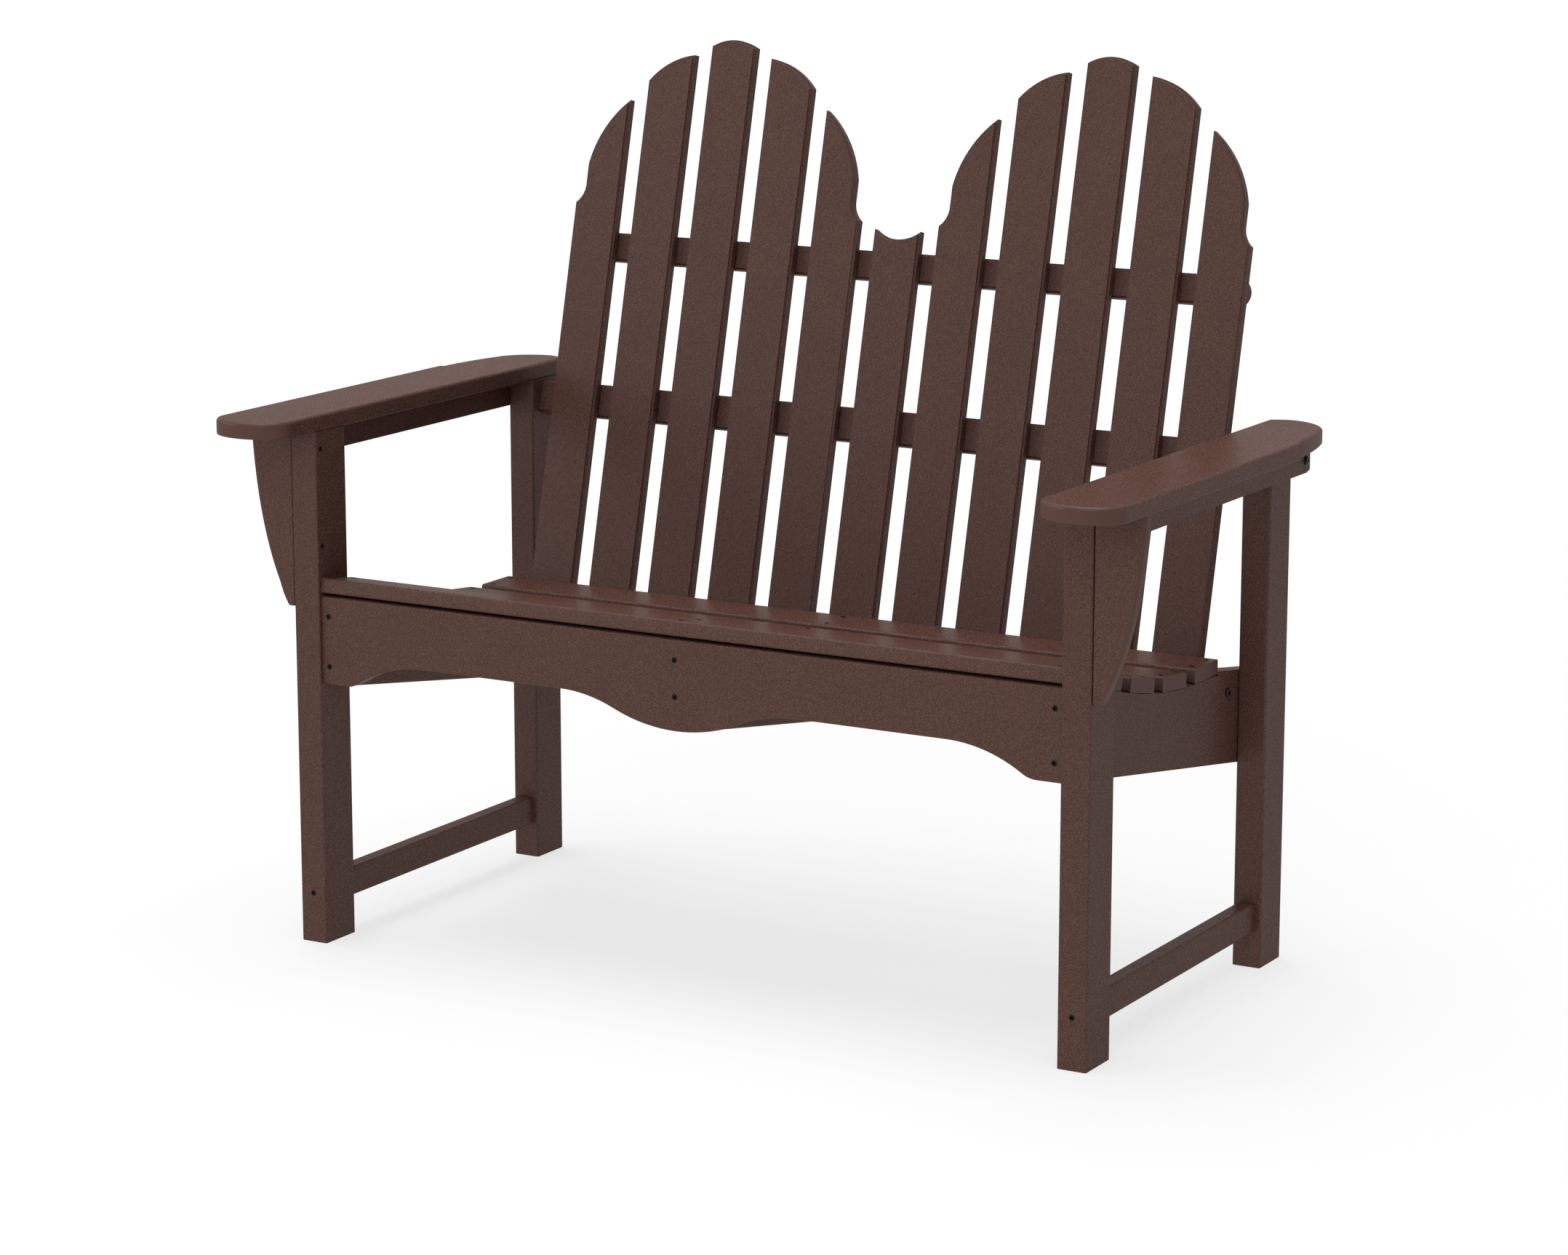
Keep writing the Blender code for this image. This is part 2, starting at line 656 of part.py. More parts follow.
def drill(name, place, depth, targets):
    """Cuts a clearance hole for a bolt through the targets."""
    shape = bmesh.new()
    radius = BOLT_DIAMETER / 2 + CLEARANCE
    rings = [ring(shape, radius, OVERRUN), ring(shape, radius, -depth - CLEARANCE)]
    for index in range(BOLT_SIDES):
        after = (index + 1) % BOLT_SIDES
        shape.faces.new((rings[0][index], rings[0][after], rings[1][after], rings[1][index]))
    shape.faces.new(rings[0])
    shape.faces.new(rings[1])
    cutter = piece(name, shape, place, None)
    cutter.hide_render = True
    cutter.display_type = "WIRE"
    for target in targets:
        hole = target.modifiers.new(name, "BOOLEAN")
        hole.operation = "DIFFERENCE"
        hole.solver = "EXACT"
        hole.object = cutter


def bolts(centre_rail, low_rail, material):
    """Bolts driven inwards from both sides, each through its outer boards and into the end of a back rail."""
    items = bpy.data.objects
    arm_start = LEG_OUTSIDE + CLEARANCE + BOARD + CLEARANCE
    arm_length = arm_start - RAIL_OUTSIDE + BOLT_BITE
    rail_start = RAIL_OUTSIDE + CLEARANCE
    rail_length = rail_start - RAIL_INSIDE + BOLT_BITE
    for side, hand in ((-1, "left"), (1, "right")):
        out = frame(Vector((0, 0, 0)), BACKWARDS * side, UPWARDS)
        place = Matrix.Translation(ARM_BOLT + ACROSS * side * arm_start) @ out
        bolt(f"arm_bolt_{hand}", arm_length, place, material)
        targets = (items[f"arm_rail_{hand}"], items[f"rear_leg_{hand}"], centre_rail)
        drill(f"arm_bolt_hole_{hand}", place, arm_length, targets)
        place = Matrix.Translation(RAIL_BOLT + ACROSS * side * rail_start) @ out
        bolt(f"rail_bolt_{hand}", rail_length, place, material)
        targets = (items[f"side_rail_{hand}"], low_rail)
        drill(f"rail_bolt_hole_{hand}", place, rail_length, targets)


def stand_on_origin():
    """Hangs every piece on one empty, moved so that the middle of the footprint is the origin."""
    reach = []
    for item in bpy.data.objects:
        if not item.hide_render:
            reach += [(item.matrix_world @ corner.co).y for corner in item.data.vertices]
    bench = bpy.data.objects.new("bench", None)
    bpy.context.collection.objects.link(bench)
    for item in list(bpy.data.objects):
        if item != bench:
            item.parent = bench
    bench.location.y = -(min(reach) + max(reach)) / 2


def main():
    clear_scene()
    lumber = finish("brown_plastic_lumber", (0.105, 0.056, 0.044), 0.62, 0)
    steel = finish("plated_steel", (0.45, 0.44, 0.42), 0.35, 1)
    dish = Dish()
    legs(lumber)
    stretchers(lumber)
    arms(lumber)
    arm_rails(lumber)
    brackets(lumber)
    apron(lumber)
    seat_rails(dish, lumber)
    seat_slats(dish, lumber)
    back_slats(lumber)
    centre_rail, low_rail = back_rails(lumber)
    bolts(centre_rail, low_rail, steel)
    stand_on_origin()


main()
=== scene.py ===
# %% [markdown]
# # A garden bench for two, made of brown plastic lumber
#
# The bench is bolted and screwed together from solid boards of one dark brown plastic: legs, arms,
# a scalloped apron, five seat slats and eleven back slats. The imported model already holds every
# board at its real size, so this lesson only dresses it: camera, light, soft edges, the grain of the
# plastic, the black bolts, and the small screws that are too many and too small for the model.

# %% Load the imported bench
import json
import math

import bmesh
import bpy
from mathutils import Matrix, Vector


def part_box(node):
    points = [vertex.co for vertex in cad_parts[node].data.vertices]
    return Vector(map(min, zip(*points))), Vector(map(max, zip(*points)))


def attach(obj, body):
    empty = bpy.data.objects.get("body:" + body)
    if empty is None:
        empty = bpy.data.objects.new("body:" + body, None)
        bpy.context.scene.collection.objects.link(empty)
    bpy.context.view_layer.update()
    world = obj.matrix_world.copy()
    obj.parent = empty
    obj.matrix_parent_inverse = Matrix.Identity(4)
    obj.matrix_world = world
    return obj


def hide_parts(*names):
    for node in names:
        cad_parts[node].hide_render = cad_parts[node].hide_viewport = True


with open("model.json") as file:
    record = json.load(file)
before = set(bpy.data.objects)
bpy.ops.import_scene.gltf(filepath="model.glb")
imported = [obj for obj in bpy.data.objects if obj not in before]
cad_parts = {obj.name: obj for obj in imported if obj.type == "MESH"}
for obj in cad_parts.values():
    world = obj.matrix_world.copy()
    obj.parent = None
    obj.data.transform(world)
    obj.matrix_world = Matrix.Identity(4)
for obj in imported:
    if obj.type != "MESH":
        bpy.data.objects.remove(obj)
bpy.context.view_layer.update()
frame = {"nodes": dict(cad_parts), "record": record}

# %% [markdown]
# ## The camera
#
# The picture was taken from the right, a little above the arms, with a long lens. A camera could be
# turned by eye until the picture looks right, but fitting the bench's own corners is exact, so the
# place is given in the distances that the fit found, counted from the front faces of the front legs.
# A long lens far away keeps the verticals almost parallel.

# %% Camera
CAMERA_TO_THE_RIGHT = 2.6812
CAMERA_IN_FRONT = 4.3704
CAMERA_HEIGHT = 1.5611
CAMERA_AZIMUTH = 30.018
CAMERA_ELEVATION = 11.998
LENS_MM = 99.71

front_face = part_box("front_leg_left")[0].y
lens = bpy.data.cameras.new("camera")
lens.lens = LENS_MM
camera = bpy.data.objects.new("camera", lens)
camera.location = (CAMERA_TO_THE_RIGHT, front_face - CAMERA_IN_FRONT, CAMERA_HEIGHT)
camera.rotation_euler = (math.radians(90 - CAMERA_ELEVATION), 0, math.radians(CAMERA_AZIMUTH))
bpy.context.collection.objects.link(camera)
bpy.context.scene.camera = camera
bpy.context.scene.view_settings.view_transform = "Standard"
print("camera at", [round(value, 3) for value in camera.location])

# %% [markdown]
# ## Studio light
#
# Everything round the bench is white, as in a light tent. Softboxes could light it, but a near one
# leaves a hot spot on a large floor. So a world that only the camera and mirror rays see as white
# gives the background and the soft sheen on the plastic, and the light that falls on the boards is
# set apart from it: a low even fill and four very wide soft suns, the strongest from above. None of
# them stands where the arms' tops or the back slats would mirror it to the camera as a grey veil.

# %% Node helpers
# Places of a Mix node's factor, its two inputs and its result, for each kind of value.
MIX_SOCKETS = {"FLOAT": (0, 2, 3, 0), "RGBA": (0, 6, 7, 2)}


def wire(tree, socket, value):
    """Links a socket to another node's output, or sets it where the value is a plain one."""
    if isinstance(value, bpy.types.NodeSocket):
        tree.links.new(value, socket)
    else:
        socket.default_value = value


def add_node(tree, kind, **values):
    """A new node with its named inputs wired. An underscore in a name stands for a space."""
    node = tree.nodes.new(kind)
    for name, value in values.items():
        wire(tree, node.inputs[name.replace("_", " ")], value)
    return node


def mix_by(tree, kind, factor, first, second):
    """Mixes two values or colours with a factor."""
    mix = tree.nodes.new("ShaderNodeMix")
    mix.data_type = kind
    *places, result = MIX_SOCKETS[kind]
    for place, value in zip(places, (factor, first, second)):
        wire(tree, mix.inputs[place], value)
    return mix.outputs[result]


def math_node(tree, operation, first, second):
    """The output of a Math node with two inputs."""
    node = tree.nodes.new("ShaderNodeMath")
    node.operation = operation
    wire(tree, node.inputs[0], first)
    wire(tree, node.inputs[1], second)
    return node.outputs[0]


def seen_directly(tree):
    """One for the rays that look at a thing, straight, in a mirror or through glass, and else zero."""
    path = tree.nodes.new("ShaderNodeLightPath")
    seen = math_node(tree, "MAXIMUM", path.outputs["Is Camera Ray"], path.outputs["Is Glossy Ray"])
    return math_node(tree, "MAXIMUM", seen, path.outputs["Is Transmission Ray"])


# %% White surroundings and an even fill
FILL = 0.16
WHITE = (1, 1, 1, 1)

world = bpy.data.worlds.new("light tent")
world.use_nodes = True
tree = world.node_tree
strength = mix_by(tree, "FLOAT", seen_directly(tree), FILL, 1.0)
wire(tree, tree.nodes["Background"].inputs["Strength"], strength)
wire(tree, tree.nodes["Background"].inputs["Color"], WHITE)
bpy.context.scene.world = world
print("fill", FILL)

# %% Soft suns
SUN_SPREAD = math.radians(45)
SUNS = {
    "low_left": (-60, 8, 1.17),
    "front": (14, 30, 0.84),
    "high_left": (-120, 68, 1.00),
    "above": (0, 89, 2.07),
}

for name, (azimuth, elevation, power) in SUNS.items():
    light = bpy.data.lights.new(name, "SUN")
    light.angle = SUN_SPREAD
    light.energy = power
    sun = bpy.data.objects.new(name, light)
    sun.rotation_euler = (math.radians(90 - elevation), 0, math.radians(azimuth))
    bpy.context.collection.objects.link(sun)
print("suns", list(SUNS))

# %% [markdown]
# ## The floor
#
# The floor is a white sheet in the same tent. A plain white sheet under these lamps would show a
# much deeper shadow than a real tent does, where light also comes up through the sheet. So about a
# third of its brightness is lamp light that it reflects, which is what the bench's shadow takes away,
# and the rest is a glow of its own. Together they make a plain white floor that lights the undersides.

# %% Floor
FLOOR_RADIUS = 60.0
FLOOR_SIDES = 96
FLOOR_REFLECTANCE = 0.235
FLOOR_GLOW = 0.70

shape = bmesh.new()
bmesh.ops.create_circle(shape, cap_ends=True, segments=FLOOR_SIDES, radius=FLOOR_RADIUS)
floor_mesh = bpy.data.meshes.new("floor")
shape.to_mesh(floor_mesh)
shape.free()
floor = bpy.data.objects.new("floor", floor_mesh)
bpy.context.collection.objects.link(floor)

paper = bpy.data.materials.new("white_floor")
paper.use_nodes = True
tree = paper.node_tree
tree.nodes.clear()
lit = add_node(tree, "ShaderNodeBsdfDiffuse", Color=(*(FLOOR_REFLECTANCE,) * 3, 1))
glow = add_node(tree, "ShaderNodeEmission", Color=WHITE, Strength=FLOOR_GLOW)
both = tree.nodes.new("ShaderNodeAddShader")
tree.links.new(lit.outputs[0], both.inputs[0])
tree.links.new(glow.outputs[0], both.inputs[1])
out = tree.nodes.new("ShaderNodeOutputMaterial")
tree.links.new(both.outputs[0], out.inputs["Surface"])
floor_mesh.materials.append(paper)
print("floor radius", FLOOR_RADIUS, "m")

# %% [markdown]
# ## Boards with soft edges
#
# Each board leaves the die with rounded long edges, and a router rounds the edges of the curved
# cuts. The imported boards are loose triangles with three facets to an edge, which catch the light as
# stripes. A Bevel modifier can't smooth what is already faceted, so each board gets a merged copy in
# the same place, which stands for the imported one. Triangles that lie in one plane are joined into one
# face, and the normals are weighted by area, which keeps wide faces flat and edges round.

# %% Merge and smooth
MERGE_DISTANCE = 0.00001
FLAT_ANGLE = math.radians(0.2)
SHARP_ANGLE = math.radians(35)


def whole_faced(shape):
    """Joins the faces of a shape that lie in one plane."""
    bmesh.ops.dissolve_limit(shape, angle_limit=FLAT_ANGLE, verts=shape.verts, edges=shape.edges)
    return shape


def merged(node):
    """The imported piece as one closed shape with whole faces."""
    shape = bmesh.new()
    shape.from_mesh(frame["nodes"][node].data)
    bmesh.ops.remove_doubles(shape, verts=shape.verts, dist=MERGE_DISTANCE)
    return whole_faced(shape)


def smooth_piece(name, shape):
    """Turns a shape into an object with flat wide faces and smooth round edges."""
    mesh = bpy.data.meshes.new("draft")
    shape.to_mesh(mesh)
    shape.free()
    mesh.shade_smooth()
    mesh.set_sharp_from_angle(angle=SHARP_ANGLE)
    draft = bpy.data.objects.new("draft", mesh)
    bpy.context.collection.objects.link(draft)
    weighting = draft.modifiers.new("weighting", "WEIGHTED_NORMAL")
    weighting.keep_sharp = True
    graph = bpy.context.evaluated_depsgraph_get()
    final = bpy.data.meshes.new_from_object(draft.evaluated_get(graph))
    final.name = name
    bpy.data.objects.remove(draft)
    bpy.data.meshes.remove(mesh)
    piece = bpy.data.objects.new(name, final)
    bpy.context.collection.objects.link(piece)
    return piece


# %% [markdown]
# ## Edges rounded by a finer rule
#
# The eye reads a board's size from the light on its edges. The boards nearest to the eye are
# therefore built again from their own outline, which is read off the faces that run across the
# packed board. It is drawn out along the board's thickness, and near both faces it is pulled in along
# a quarter of a circle. Each edge has its own radius: none where the saw went, and large where the
# router followed a curve. A Bevel modifier has one width for all, and folds up in a tight curve.

# %% Outline of a packed board
LEVEL_DISTANCE = 0.0001
UPRIGHT = 0.02


def farthest_pair(points):
    """The two points that lie farthest apart."""
    pairs = [(one, two) for index, one in enumerate(points) for two in points[index + 1:]]
    return max(pairs, key=lambda pair: (pair[0] - pair[1]).length)


def sides_across(shape, axis):
    """The ends of each face that runs across a board's thickness, as pairs of flat points."""
    one_way, other_way = [index for index in range(3) if index != axis]
    depths = [vert.co[axis] for vert in shape.verts]
    middle = (min(depths) + max(depths)) / 2
    sides = []
    for face in shape.faces:
        depths = [vert.co[axis] for vert in face.verts]
        if abs(face.normal[axis]) > UPRIGHT or min(depths) > middle or max(depths) < middle:
            continue
        level = max(depth for depth in depths if depth < middle)
        ends = [vert.co for vert in face.verts if abs(vert.co[axis] - level) < LEVEL_DISTANCE]
        sides.append(farthest_pair([Vector((end[one_way], end[other_way])) for end in ends]))
    return sides


def board_outline(shape, axis):
    """The outline of a board, as flat points in order, counter-clockwise."""
    sides = sides_across(shape, axis)
    walk = list(sides.pop(0))
    while len(sides) > 1:
        side = min(sides, key=lambda side: min((end - walk[-1]).length for end in side))
        sides.remove(side)
        walk.append(max(side, key=lambda end: (end - walk[-1]).length))
    turned = sum(one.cross(two) for one, two in zip(walk, walk[1:] + walk[:1]))
    return walk if turned > 0 else walk[::-1]


# %% How a rim is rounded
RIM_STEPS = 6
NEARLY_STRAIGHT = 0.0001
QUARTER_TURN = math.pi / 2


def quarter_round():
    """How far a rim is pulled in and sunk at each step, in shares of its radius."""
    angles = [QUARTER_TURN * step / RIM_STEPS for step in range(RIM_STEPS + 1)]
    return [(1 - math.sin(angle), 1 - math.cos(angle)) for angle in angles]


def edge_normals(outline):
    """The way that each edge of an outline looks, from its corner to the next one."""
    edges = [after - point for point, after in zip(outline, outline[1:] + outline[:1])]
    return [Vector((edge.y, -edge.x)).normalized() for edge in edges]


def inset_way(before, after, keep_before, keep_after):
    """How a corner moves when the edges beside it move in by one, except the edges that are kept."""
    wanted = (0.0 if keep_before else 1.0, 0.0 if keep_after else 1.0)
    spread = before.cross(after)
    if abs(spread) < NEARLY_STRAIGHT:
        return -before * max(wanted)
    x = (wanted[0] * after.y - wanted[1] * before.y) / spread
    y = (wanted[1] * before.x - wanted[0] * after.x) / spread
    return -Vector((x, y))


def corner_moves(outline, radius_of):
    """The radius of the rim at each corner, and the way in which the corner moves."""
    normals = edge_normals(outline)
    radii = [radius_of(normal) for normal in normals]
    moves = []
    for index in range(len(outline)):
        beside = (radii[index - 1], radii[index])
        radius = sum(beside) / max(1, sum(value > 0 for value in beside))
        way = inset_way(normals[index - 1], normals[index], beside[0] == 0, beside[1] == 0)
        moves.append((radius, way))
    return moves


# %% A board with quarter-round edges
def rounded_board(outline, axis, low, high, radius_of, lower_share=1.0):
    """Draws an outline out from low to high and rounds both rims, the low one by a share of the radius."""
    moves = corner_moves(outline, radius_of)
    rim = quarter_round()
    shape = bmesh.new()
    loops = []
    for end, inwards, steps, share in ((low, 1, rim, lower_share), (high, -1, rim[::-1], 1.0)):
        for pulled, sunk in steps:
            loop = []
            for point, (full_radius, way) in zip(outline, moves):
                radius = share * full_radius
                flat = point + way * radius * pulled
                place = [flat.x, flat.y]
                place.insert(axis, end + inwards * radius * sunk)
                loop.append(shape.verts.new(place))
            loops.append(loop)
    for one, two in zip(loops, loops[1:]):
        for index in range(len(outline)):
            after = (index + 1) % len(outline)
            shape.faces.new((one[index], one[after], two[after], two[index]))
    shape.faces.new(loops[0])
    shape.faces.new(loops[-1])
    bmesh.ops.remove_doubles(shape, verts=shape.verts, dist=MERGE_DISTANCE)
    whole_faced(shape)
    bmesh.ops.recalc_face_normals(shape, faces=shape.faces)
    return shape


# %% Radii of the boards
ARM_RIM = 0.0045
ARM_LOWER_RIM_SHARE = 0.45
LEG_RIM = 0.0022
RAIL_RIM = 0.003
SQUARE_ON = 0.95
LOOKS_UP = 0.5
X_AXIS, Y_AXIS, Z_AXIS = range(3)


def arm_radius(normal):
    """The router goes all the way round an arm."""
    return ARM_RIM


def leg_radius(normal):
    """A leg's flat points are its depth and its height, and both its ends are sawn square."""
    return 0.0 if abs(normal.y) > SQUARE_ON else LEG_RIM


def rail_radius(normal):
    """The dished top of a seat rail is cut and stays sharp."""
    return 0.0 if normal.y > LOOKS_UP else RAIL_RIM


def apron_radius(normal):
    """The ends of the apron are sawn, and the router rounds its scallops as well as its top."""
    return 0.0 if abs(normal.x) > SQUARE_ON else RAIL_RIM


FINER_BOARDS = {
    "apron": (Y_AXIS, apron_radius, 1.0),
    "arm_left": (Z_AXIS, arm_radius, ARM_LOWER_RIM_SHARE),
    "arm_right": (Z_AXIS, arm_radius, ARM_LOWER_RIM_SHARE),
    "front_leg": (X_AXIS, leg_radius, 1.0),
    "middle_joist": (X_AXIS, rail_radius, 1.0),
}

# %% Side rails
RIM_REACH_SHARE = 1.5


def sharp_topped(node):
    """A side rail, bored for its bolt, whose dished top is cut square to its faces."""
    shape = merged(node)
    outline = board_outline(shape, X_AXIS)
    on_top = [normal.y > LOOKS_UP for normal in edge_normals(outline)]
    top = [point for index, point in enumerate(outline) if on_top[index] or on_top[index - 1]]
    for vert in shape.verts:
        here = Vector((vert.co.y, vert.co.z))
        nearest = min(top, key=lambda point: (point - here).length)
        if (nearest - here).length < RAIL_RIM * RIM_REACH_SHARE:
            vert.co.y, vert.co.z = nearest
    bmesh.ops.dissolve_degenerate(shape, edges=shape.edges, dist=MERGE_DISTANCE)
    return whole_faced(shape)


# %% [markdown]
# ## Brackets
#
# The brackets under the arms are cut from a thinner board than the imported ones, sit almost flush with
# the legs' front faces, and have a wide round-over along the front of their curve. Bending the packed
# ones would smear their facets, so they are drawn here from their own curve, a parabola that leaves
# a small round tip, and the rails behind them reach forward to them.

# %% Bracket outline
BRACKET_SETBACK = 0.001
BRACKET_THICKNESS = 0.01905
BRACKET_TOP_WIDTH = 0.0639
BRACKET_TIP_WIDTH = 0.0108
BRACKET_TIP_RADIUS = 0.003
BRACKET_BEND = (0.0565, 0.0814)
BRACKET_STEPS = 24
TIP_STEPS = 4


def bracket_outline(inner, side, low, high):
    """A bracket from the front: square to the leg and the arm, with one long curve down its outer side."""
    end = Vector((BRACKET_TOP_WIDTH, high - low))
    bend = Vector(BRACKET_BEND)
    slope = (bend - Vector((BRACKET_TIP_WIDTH, 0))).normalized()
    turn = math.asin(slope.y)
    centre = Vector((BRACKET_TIP_WIDTH - BRACKET_TIP_RADIUS * slope.y, BRACKET_TIP_RADIUS))
    points = [Vector((0, 0))]
    for step in range(TIP_STEPS + 1):
        angle = turn * step / TIP_STEPS
        points.append(centre + Vector((math.sin(angle), -math.cos(angle))) * BRACKET_TIP_RADIUS)
    start = points.pop()
    for step in range(BRACKET_STEPS + 1):
        along = step / BRACKET_STEPS
        points.append(start * (1 - along) ** 2 + bend * 2 * along * (1 - along) + end * along**2)
    points.append(Vector((0, high - low)))
    placed = [Vector((inner + side * point.x, low + point.y)) for point in points]
    return placed if side > 0 else placed[::-1]


# %% Brackets and the rails behind them
BRACKET_CURVE_RIM = 0.005
BRACKET_INNER_RIM = 0.0028
BRACKET_TIP_RIM = 0.0020
BRACKET_TIP_LEAN = 0.42
RAIL_CLEARANCE = 0.0003


def bracket_radius(side):
    """Radii of a bracket's edges, whose curve looks to the given side."""
    def radius_of(normal):
        if normal.y > SQUARE_ON:
            return 0.0
        if normal.x * side <= 0:
            return BRACKET_INNER_RIM
        return BRACKET_TIP_RIM if normal.y < -BRACKET_TIP_LEAN else BRACKET_CURVE_RIM
    return radius_of


def bracket(node):
    """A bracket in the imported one's place, a little thinner and nearer to the leg's front."""
    corner_low, corner_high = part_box(node)
    side = math.copysign(1, corner_low.x)
    inner = corner_low.x if side > 0 else corner_high.x
    outline = bracket_outline(inner, side, corner_low.z, corner_high.z)
    front = front_face + BRACKET_SETBACK
    return rounded_board(outline, Y_AXIS, front, front + BRACKET_THICKNESS, bracket_radius(side))


def longer_rail(node):
    """An arm rail whose front end reaches up to the bracket."""
    shape = merged(node)
    low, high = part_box(node)
    start = front_face + BRACKET_SETBACK + BRACKET_THICKNESS + RAIL_CLEARANCE
    for vert in shape.verts:
        if vert.co.y < (low.y + high.y) / 2:
            vert.co.y += start - low.y
    return shape


# %% The shape of each piece
def by_start(table, node):
    """The entry of a table whose key the node's name starts with."""
    return next((entry for start, entry in table.items() if node.startswith(start)), None)


def finer_board(node):
    """A board built again from its outline, with the radii of its kind."""
    axis, radius_of, lower_share = by_start(FINER_BOARDS, node)
    packed = merged(node)
    outline = board_outline(packed, axis)
    packed.free()
    low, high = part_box(node)
    return rounded_board(outline, axis, low[axis], high[axis], radius_of, lower_share)


OWN_SHAPES = {
    **{start: finer_board for start in FINER_BOARDS},
    "arm_bracket": bracket,
    "arm_rail": longer_rail,
    "side_rail": sharp_topped,
}

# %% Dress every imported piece
slots = {part["node"]: part["material_slot"] for part in frame["record"]["subparts"]}
pieces = {}
for node in sorted(frame["nodes"]):
    make_shape = by_start(OWN_SHAPES, node) or merged
    piece = smooth_piece(f"{node}_surface", make_shape(node))
    piece.data.materials.clear()
    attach(piece, "root")
    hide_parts(node)
    pieces[node] = piece
print("faces", sum(len(piece.data.polygons) for piece in pieces.values()))

# %% [markdown]
# ## Where a cutter has been
#
# The die leaves a fine pebbled skin along every board. A saw that cuts a board to length, and a
# router that shapes an arm's nose, a slat's top or a bracket's curve, go through that skin and leave
# a smooth surface. Two materials to a board would do, but one material that reads a number stored on
# each face, 1 where it was cut, keeps them alike. The sawn ends are found from the way a board runs,
# the routed faces by a rule for each board.

# %% Sawn ends
BACK_TILT = math.radians(13.7)

back_up = Vector((0, math.sin(BACK_TILT), math.cos(BACK_TILT)))
RUNS_ALONG = {
    "front_leg": Vector((0, 0, 1)),
    "rear_leg": Vector((0, 0, 1)),
    "side": Vector((0, 1, 0)),
    "arm_rail": Vector((0, 1, 0)),
    "arm_bracket": Vector((0, 0, 1)),
    "middle_joist": Vector((0, 1, 0)),
    "apron": Vector((1, 0, 0)),
    "seat_slat": Vector((1, 0, 0)),
    "back_rail": Vector((1, 0, 0)),
    "back_slat": back_up,
}


def is_sawn(node, normal):
    """A face that looks along its board is an end of it."""
    along = by_start(RUNS_ALONG, node)
    return along is not None and abs(normal.dot(along)) > SQUARE_ON


# %% Routed faces of the arms, the brackets and the apron
ARM_NOSE_END = 0.0410
ARM_TAIL_LENGTH = 0.1545
LOOKS_THAT_WAY = 0.2
LIES_FLAT = 0.97

arm_nose_end = front_face - ARM_NOSE_END
arm_tail_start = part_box("arm_right")[1].y - ARM_TAIL_LENGTH
print("arms are routed before y", round(arm_nose_end, 4), "and behind y", round(arm_tail_start, 4))


def arm_is_cut(centre, normal):
    """The nose and the tapered tail of an arm, but not its flat top and underside."""
    beyond = centre.y < arm_nose_end or centre.y > arm_tail_start
    return beyond and abs(normal.z) < LIES_FLAT


def bracket_is_cut(centre, normal):
    """The long curve, which looks away from the bench's middle."""
    return normal.x * centre.x > LOOKS_THAT_WAY * abs(centre.x)


def apron_is_cut(centre, normal):
    """The scalloped lower edge."""
    return normal.z < -LOOKS_THAT_WAY


# %% Routed faces of the back
SLAT_COUNT = 11
LEFT_FAN_MIDDLE, RIGHT_FAN_MIDDLE = 2, 8
MIDDLE_SLAT_SHARE = 0.25
NOTCH_HEIGHT = 0.9036

slat_boxes = [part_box(f"back_slat_{index:02d}") for index in range(1, SLAT_COUNT + 1)]
slat_middles = [sum(corner.x for corner in box) / 2 for box in slat_boxes]
fan_middles = {-1: slat_middles[LEFT_FAN_MIDDLE], 1: slat_middles[RIGHT_FAN_MIDDLE]}
print("back slats at x", [round(middle, 4) for middle in slat_middles])


def slat_is_cut(centre, normal):
    """The shaped top, and the outer side of a tip above its notch."""
    if normal.dot(back_up) > LOOKS_THAT_WAY:
        return True
    if abs(centre.x) < fan_middles[1] * MIDDLE_SLAT_SHARE:
        return False
    outwards = centre.x - fan_middles[math.copysign(1, centre.x)]
    return centre.z > NOTCH_HEIGHT and normal.x * outwards > LOOKS_THAT_WAY * abs(outwards)


def top_rail_is_cut(centre, normal):
    """The round ends."""
    return abs(normal.x) > LOOKS_THAT_WAY


# %% Mark the cut faces
CUT_RULES = {
    "arm_left": arm_is_cut,
    "arm_right": arm_is_cut,
    "arm_bracket": bracket_is_cut,
    "apron": apron_is_cut,
    "back_slat": slat_is_cut,
    "back_rail_top": top_rail_is_cut,
}


def mark_cut_faces(node, piece):
    """Stores 1 in the attribute 'cut' on each face that a saw or a router has cut, and counts them."""
    rule = by_start(CUT_RULES, node)
    faces = piece.data.polygons
    marks = [is_sawn(node, face.normal) or bool(rule and rule(face.center, face.normal)) for face in faces]
    stored = piece.data.attributes.new("cut", "FLOAT", "FACE")
    stored.data.foreach_set("value", [float(mark) for mark in marks])
    return sum(marks)


counts = {node: mark_cut_faces(node, piece) for node, piece in pieces.items()}
print("cut faces", sum(counts.values()))

# %% [markdown]
# ## Brown plastic lumber
#
# The plastic is coloured right through, so a board could be one flat brown. What the eye reads as
# grain is a skin of fine pebbles about a millimetre across and twice as long from front to back,
# whose glints and shade are painted into the colour: the crowns paler and greyer as painted glints,
# the hollows darker as painted shade. One fine noise gives both this painted colour of the pebbles,
# which carries most of the grain, and their height. Its lattice is turned, so that the grain is even
# from board to board. A slow noise varies the brown by a few parts in a hundred, and each batch of
# boards has its own tone. The soft sheen is a thin coat, which stays calm at a slant where a strong
# base gloss would turn the boards grey.

# %% Noise of the skin
PEBBLE_SIZE = 0.0010
PEBBLE_DRAWN_OUT = (1.0, 0.45, 1.0)
PEBBLE_TURN = (0.5, 0.8, 0.3)
NOISE_DETAIL = 2.0
NOISE_SPAN = (0.32, 0.68)


